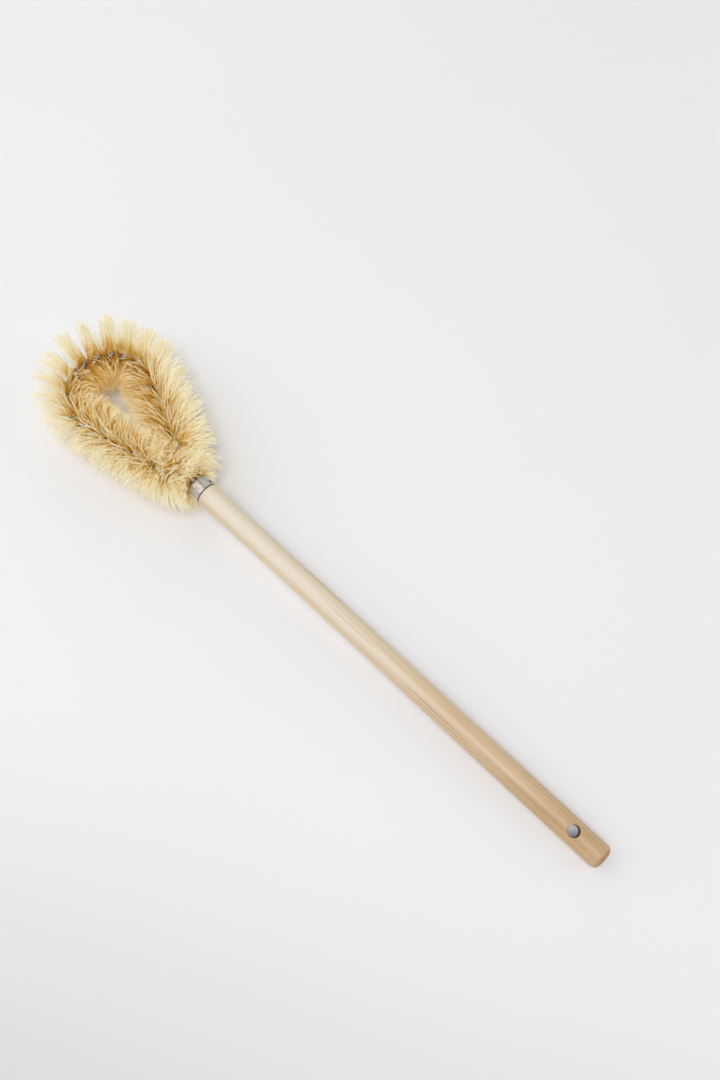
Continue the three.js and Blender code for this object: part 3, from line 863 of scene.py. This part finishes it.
def fibre_tree():
    tree = bpy.data.node_groups.new("fibre_between_wires", "GeometryNodeTree")
    tree.is_modifier = True
    tree.interface.new_socket("Path", in_out="INPUT", socket_type="NodeSocketGeometry")
    for name, kind in FIBRE_INPUTS:
        tree.interface.new_socket(name, in_out="INPUT", socket_type="NodeSocket" + kind)
    tree.interface.new_socket("Fibre", in_out="OUTPUT", socket_type="NodeSocketGeometry")
    g = Graph(tree)
    given = g.node("NodeGroupInput")
    size = {name: given.output(name) for name, _ in FIBRE_INPUTS}
    path = g.node("GeometryNodeMeshToCurve", None, given)
    index = g.node("GeometryNodeInputIndex")

    def chance(low, high, salt, ident=index, seed=size["Seed"]):
        """A random value. Each draw has a salt of its own."""
        return g.node(
            "FunctionNodeRandomValue", {"data_type": "FLOAT_VECTOR" if is_vector(low) else "FLOAT"},
            Min=low, Max=high, ID=ident, Seed=g.maths("ADD", seed, salt),
        )

    def chance_place(spread, salt, ident=index):
        return chance((-spread,) * 3, (spread,) * 3, salt, ident)

    def scatter(width, salt, ident=index):
        """The mean of two draws, so that small values are more common."""
        return (chance(-1, 1, salt, ident) + chance(-1, 1, salt + 1, ident)) * 0.5 * width

    def field(name, kind="FLOAT"):
        return g.node("GeometryNodeInputNamedAttribute", {"data_type": kind}, Name=name)

    def store(geometry, name, value):
        kind = "FLOAT_VECTOR" if is_vector(value) else "FLOAT"
        return g.node(
            "GeometryNodeStoreNamedAttribute", {"data_type": kind, "domain": "POINT"},
            Geometry=geometry, Name=name, Value=value,
        )

    def along(name, share):
        """What the path carries under this name at a share of its length."""
        return g.node(
            "GeometryNodeSampleCurve", {"mode": "FACTOR", "use_all_curves": True, "data_type": "FLOAT"},
            Curves=path, Value=field(name), Factor=share,
        )

    def frame_at(share):
        turn = along("turn", share)
        tangent = turn.output("Tangent")
        side = g.maths("NORMALIZE", g.maths("CROSS_PRODUCT", tuple(UP), tangent))
        return turn, turn.output("Position"), tangent, side

    # Fibres stand in locks, and locks draw together into tufts, most where the layer's edge faces out
    lock = g.maths("FLOOR", index / size["Per Lock"])
    locks = size["Fibres"] / size["Per Lock"]
    counted = lock + chance(0, 1, 1, lock)
    share = size["From Share"] + (size["To Share"] - size["From Share"]) * counted / locks
    edge = g.maths("FLOOR", chance(0, 2, 2, lock)) * 2 - 1
    tuft = g.maths("FLOOR", share * size["Tufts"])
    tuft_id = tuft * 2 + edge

    def tuft_chance(spread, salt, low=None):
        """The same in every slice, because a tuft can lie across two."""
        return chance(-spread if low is None else low, spread, salt, tuft_id, 0)

    tuft_share = (tuft + 0.5 + tuft_chance(TUFT_SHIFT, 51)) / size["Tufts"]
    finger_share = along("finger_share", share)
    half_turn = (1 - edge) * (math.pi / 2)
    root_turn, root_place, _, root_side = frame_at(share)
    faces_out = g.between(g.maths("COSINE", root_turn + half_turn), -EDGE_FACING, EDGE_FACING)
    gather = along("gather", share) * (0.5 + faces_out * 0.5)
    tip_share = share + (tuft_share - share) * gather + scatter(LOCK_SHIFT, 11, lock)
    tip_share = tip_share + (finger_share - tip_share) * (along("finger", share) * faces_out)
    tip_turn, tip_place, tip_tangent, tip_side = frame_at(tip_share)
    stray = scatter(along("stray", share) * (2 - faces_out), 15, lock)
    root_angle = root_turn + half_turn + stray * ROOT_STRAY_SHARE
    tip_angle = tip_turn + half_turn + stray + tuft_chance(TUFT_TURN, 52)
    sideways = g.maths("COSINE", tip_angle)
    upwards = g.maths("SINE", tip_angle)

    # Length: its own reach outwards, upwards and inwards, uneven from tuft to tuft and lock to lock
    outer = g.between(sideways, 0, WHOLLY_SIDEWAYS)
    inner = g.between(sideways, 0, -WHOLLY_SIDEWAYS)
    reach = size["Top Reach"] + (along("outward_reach", tip_share) - size["Top Reach"]) * outer
    reach = reach + (size["Inward Reach"] - reach) * inner
    lacking = chance(0, 1, 17, lock) ** LENGTH_POWER * size["Length Spread"] * (1 - inner * 0.4)
    length = reach * (1 - lacking + tuft_chance(TUFT_LENGTH, 53) + scatter(FIBRE_LENGTH, 18))

    # In the bowl fibres lie flatter. Those that point into the loop end at its middle, and where the arms
    # leave little room they turn up instead.
    room = along("room", tip_share)
    ragged = (1 - g.between(room, *RAGGED_ROOM)) * chance(-RAGGEDNESS, RAGGEDNESS, 19, lock)
    limit = room * chance(*MIDDLE_RANGE, 20, lock) + ragged
    deep = inner * along("bowl", tip_share)
    upwards = upwards * (1 - deep * BEND_FLATNESS)
    sideways = g.maths("SIGN", sideways) * g.maths("SQRT", 1 - upwards * upwards)
    narrowing = sideways * -1 - upwards * along("slant", tip_share)
    trimmed = g.maths("MINIMUM", length, limit / g.maths("MAXIMUM", narrowing, LEAST_NARROWING))
    wide = g.between(room, *TRIM_ROOM)
    length = length + (trimmed - length) * wide
    inward = g.maths("MINIMUM", sideways * length * -1, limit)
    rise = g.maths("SQRT", g.maths("MAXIMUM", length * length - inward * inward, 0))
    rise = rise * g.maths("SIGN", upwards + (1 - wide) * TURN_UP)
    across = tip_side * (inward * -1) + rise * Vector(UP)

    # The tip's place, with its lean at the neck, its fan and its comb, and the bend of the fibre up to it
    lean = along("lean", tip_share)
    fan = scatter(along("fan", share), 21, lock) * (1 - inner * 0.6)
    fore_aft = g.maths("TANGENT", lean) + fan + tuft_chance(TUFT_FAN, 54)
    comb = along("comb", share) * inner
    shorter = length / g.maths("SQRT", 1 + comb * comb)
    across = across * (g.maths("COSINE", lean) * (shorter / length))
    tip = tip_place + across + tip_tangent * ((fore_aft + comb) * shorter)
    tip = tip + chance_place(1.0, 22) * size["Lock Spread"]
    root = root_place + chance_place(ROOT_SPREAD, 23)
    first_half = root_side * g.maths("COSINE", root_angle) + g.maths("SINE", root_angle) * Vector(UP)
    straight = (root + tip) * 0.5
    sprung = root + first_half * (length * 0.5)
    spring = along("spring", share)
    bend = straight * (1 - spring) + sprung * spring + chance_place(1.0, 24, lock) * size["Bend"]

    def above_floor(point, salt):
        x, y, z = g.parts(point)
        return g.vector(x, y, g.maths("MAXIMUM", z, size["Floor"] * chance(1, 6, salt)))

    # Tints vary from lock to lock. Painted shade darkens fibres that point into the loop, most in the bowl,
    # and painted light pales those that point out, most round the bend
    tint = chance(0, 1, 31, lock) * 0.6 + chance(0, 0.2, 33) + tuft_chance(0.2, 55, low=0)
    tint = tint * (1 - deep * 0.3 - inner * 0.1)
    painted_light_and_shade = 1 - deep * 0.26 - inner * 0.10 + outer * (along("bowl", tip_share) * 0.46 + 0.14)
    points = g.node("GeometryNodePoints", None, Count=size["Fibres"])
    for name, value in (
        ("root", root), ("bend", above_floor(bend, 26)), ("tip", above_floor(tip, 27)), ("tint", tint),
        ("weight", chance(*WEIGHT_RANGE, 32)), ("painted_light_and_shade", painted_light_and_shade),
    ):
        points = store(points, name, value)

    # Each point gets a line, which is curved from root to tip and given its thickness
    line = g.node("GeometryNodeCurvePrimitiveLine", None, Start=(0, 0, 0), End=tuple(UP))
    line = g.node("GeometryNodeResampleCurve", None, Curve=line, Count=size["Steps"])
    fibres = g.node("GeometryNodeInstanceOnPoints", None, Points=points, Instance=line)
    fibres = g.node("GeometryNodeRealizeInstances", None, Geometry=fibres)
    t = g.node("GeometryNodeSplineParameter")
    root, bend, tip = (field(name, "FLOAT_VECTOR") for name in ("root", "bend", "tip"))
    curve = root * ((1 - t) * (1 - t)) + bend * (t * (1 - t) * 2) + tip * (t * t)
    fibres = g.node("GeometryNodeSetPosition", None, Geometry=fibres, Position=curve)
    fibres = store(fibres, "from_root", t * field("painted_light_and_shade"))
    taper = 1 - t * (1 - size["Tip Thickness"])
    radius = taper * field("weight") * size["Thickness"] * 0.5
    section = g.node("GeometryNodeCurvePrimitiveCircle", {"mode": "RADIUS"}, Resolution=3, Radius=1)
    mesh = g.node(
        "GeometryNodeCurveToMesh", None,
        Curve=fibres, Profile_Curve=section, Scale=radius, Fill_Caps=True,
    )
    mesh = g.node("GeometryNodeSetShadeSmooth", None, Geometry=mesh, Shade_Smooth=True)
    mesh = g.node("GeometryNodeRealizeInstances", None, Geometry=mesh)
    mesh = g.node("GeometryNodeSetMaterial", None, Geometry=mesh, Material=size["Material"])
    g.node("NodeGroupOutput", None, Fibre=mesh)
    return tree


def path_mesh(name):
    """The stretch of the axis that holds fibre, as a line of edges that carries what the tree asks for."""
    start = LEG_DEPTH + FIBRE_SETBACK
    kept = (ARCS >= start) & (ARCS <= ARCS[-1] - start)
    arcs, axis, centre = ARCS[kept], AXIS[kept], CENTRE[kept]
    shares = (arcs - arcs[0]) / (arcs[-1] - arcs[0])

    def table(rows):
        return np.interp(shares, *zip(*rows))

    # Towards the neck fibres lean, except right at it, and they spring further from the wires
    from_end = np.minimum(arcs - arcs[0], arcs[-1] - arcs)
    lean = NECK_LEAN * np.clip((NECK_LEAN_LENGTH - from_end) / (NECK_LEAN_LENGTH - NECK_LEAN_PEAK), 0, 1)
    lean *= np.interp(from_end, [0, NECK_LEAN_PEAK], [NECK_LEAN_AT_END, 1])

    # The room for fibres that point into the loop, to the core of the bend or the gap between the arms
    loop_ahead = np.array([math.cos(LOOP_LEAN), math.sin(LOOP_LEAN)])
    loop_side = np.array([-math.sin(LOOP_LEAN), math.cos(LOOP_LEAN)])
    to_centre = np.linalg.norm(axis - BEND_CENTRE, axis=1)
    on_bend = np.abs(to_centre - BEND_RADIUS) < PATH_STEP / 4
    beside = np.abs((axis - VERTEX) @ loop_side)
    ahead = (axis - VERTEX) @ loop_ahead
    gap = np.interp(ahead, [0, ARM_LENGTH * math.cos(ARM_SPREAD)], [NECK_GAP, MIDDLE_GAP])
    slant = OPENING_SLANT * np.array([math.sin(CAMERA_AZIMUTH), -math.cos(CAMERA_AZIMUTH)])

    half_twist = (TWIST_END - TWIST_START) / HALF_TWISTS
    counted = (arcs - TWIST_START) / half_twist - FINGER_PLACE
    finger_arcs = TWIST_START + (np.round(counted) + FINGER_PLACE) * half_twist
    made = new_object(name, bpy.data.meshes.new(name))
    made.data.from_pydata(centre.tolist(), [(k, k + 1) for k in range(len(centre) - 1)], [])
    fields = {
        "turn": turn_at(arcs) + math.pi / 2,
        "lean": lean * np.where(shares < 0.5, -1, 1),
        "spring": np.interp(from_end, [0, NECK_LEAN_LENGTH], [0.85, 0.4]),
        "room": np.where(on_bend, to_centre - CORE_RADIUS, beside - gap / 2),
        "slant": -SIDE[kept, :2] @ slant,
        "bowl": table(BOWL),
        "comb": BOWL_COMB * (ALONG[kept, :2] @ -loop_ahead) * table(COMBED),
        "outward_reach": table(OUTWARD_REACH) * MM,
        "stray": table(STRAY),
        "gather": table(GATHER),
        "fan": table(FAN),
        "finger": table(FINGER),
        "finger_share": (finger_arcs - arcs[0]) / (arcs[-1] - arcs[0]),
    }
    for field, values in fields.items():
        attribute = made.data.attributes.new(field, "FLOAT", "POINT")
        attribute.data.foreach_set("value", values.astype(np.float32))
    return made


def make_fibre(name, count, first, last, seed, tree, surface, node):
    piece = path_mesh(name)
    modifier = piece.modifiers.new("fibre", "NODES")
    modifier.node_group = tree
    chosen = {
        "Fibres": count, "From Share": first, "To Share": last,
        "Per Lock": FIBRES_PER_LOCK, "Lock Spread": LOCK_SPREAD,
        "Tufts": HALF_TWISTS * TUFTS_PER_HALF_TWIST,
        "Bend": FIBRE_BEND, "Top Reach": FIBRE_REACH, "Inward Reach": INWARD_REACH,
        "Length Spread": LENGTH_SPREAD, "Thickness": FIBRE_THICKNESS, "Tip Thickness": TIP_THICKNESS_SHARE,
        "Steps": FIBRE_STEPS, "Floor": FLOOR_GAP, "Seed": seed, "Material": surface,
    }
    sockets = {s.name: s.identifier for s in tree.interface.items_tree if s.in_out == "INPUT"}
    for socket, value in chosen.items():
        modifier[sockets[socket]] = value
    apply_modifiers(piece)
    for spare in ("root", "bend", "tip", "weight", "painted_light_and_shade"):
        piece.data.attributes.remove(piece.data.attributes[spare])
    finish_piece(piece, surface, "bristle_fibre", node)


def make_head():
    wire = zinc_wire()
    make_wire("twisted_wire_a", 1, wire, "wire_strand_a")
    make_wire("twisted_wire_b", -1, wire, "wire_strand_b")
    tree = fibre_tree()
    fibre = plant_fibre()
    nodes = ("bristles_near_left", "bristles_far_left", "bristles_far_right", "bristles_near_right")
    slices = len(FIBRES_PER_SLICE)
    per_node = slices // len(nodes)
    for k, count in enumerate(FIBRES_PER_SLICE):
        node = nodes[k // per_node]
        name = f"{node.replace('bristles', 'fibre')}_{k % per_node + 1}"
        make_fibre(name, count, k / slices, (k + 1) / slices, SEED_STEP * (k + 1), tree, fibre, node)


# Table, light and camera

def make_table():
    corners = [(x * TABLE_HALF, y * TABLE_HALF, 0) for x, y in ((-1, -1), (1, -1), (1, 1), (-1, 1))]
    floor = mesh_object("table", corners, [(0, 1, 2, 3)])
    made, graph, shader = material("pale_table")
    place = graph.place()
    mottle = graph.noise(place, 3, 2)
    base = graph.mix(mottle, srgb(236, 236, 238), srgb(240, 240, 241))
    near = Vector((math.sin(CAMERA_AZIMUTH), -math.cos(CAMERA_AZIMUTH), 0))
    left = Vector((-math.cos(CAMERA_AZIMUTH), -math.sin(CAMERA_AZIMUTH), 0))
    to_corner = near + left * SHADE_LEFT
    towards_corner = graph.maths("DOT_PRODUCT", place, tuple(to_corner))
    middle = (MOUTH + CAMERA_AIM_FROM_MOUTH).dot(to_corner)
    # Painted shade darkens the table towards the near left corner
    shade = graph.between(towards_corner, middle + SHADE_START, middle + SHADE_END)
    base = graph.mix(shade, base, srgb(204, 204, 206))
    give(graph, shader, Base_Color=base, Roughness=0.85, Specular_IOR_Level=0.1)
    floor.data.materials.append(made)


def area_light(name, heading, height, level, distance, size):
    light = bpy.data.lights.new(name, "AREA")
    light.shape = "SQUARE"
    light.size = size
    light.energy = level * (math.pi * distance) ** 2
    holder = new_object(name, light)
    turn = CAMERA_AZIMUTH + math.radians(90 + heading)
    rise = math.radians(height)
    direction = Vector((math.cos(turn) * math.cos(rise), math.sin(turn) * math.cos(rise), math.sin(rise)))
    holder.location = direction * distance
    holder.rotation_mode = "QUATERNION"
    holder.rotation_quaternion = direction.to_track_quat("Z", "Y")


def make_light():
    world = bpy.data.worlds.new("studio")
    world.use_nodes = True
    world.node_tree.nodes.clear()
    graph = Graph(world.node_tree)
    seen = graph.node("ShaderNodeLightPath").output("Is Camera Ray")
    soft = graph.node("ShaderNodeBackground", None, Color=(0.97, 0.98, 1.0, 1), Strength=AMBIENT_LEVEL)
    white = graph.node("ShaderNodeBackground", None, Color=srgb(240, 240, 242), Strength=1)
    light = graph.node("ShaderNodeMixShader", None, seen, soft, white)
    graph.node("ShaderNodeOutputWorld", None, Surface=light)
    bpy.context.scene.world = world
    for lamp in LIGHTS:
        area_light(*lamp)


def make_camera():
    camera = new_object("camera", bpy.data.cameras.new("camera"))
    camera.data.sensor_width = SENSOR
    camera.data.lens = CAMERA_LENS
    level = math.cos(CAMERA_ELEVATION)
    back = Vector((
        math.sin(CAMERA_AZIMUTH) * level, -math.cos(CAMERA_AZIMUTH) * level, math.sin(CAMERA_ELEVATION),
    ))
    aim = Vector((MOUTH.x, MOUTH.y, 0)) + CAMERA_AIM_FROM_MOUTH
    camera.location = aim + back * CAMERA_DISTANCE
    camera.rotation_mode = "QUATERNION"
    camera.rotation_quaternion = back.to_track_quat("Z", "Y")
    bpy.context.scene.camera = camera


make_camera()
make_light()
make_table()
make_handle()
make_ferrule()
make_nail()
make_head()
bpy.context.scene.view_settings.view_transform = "Standard"
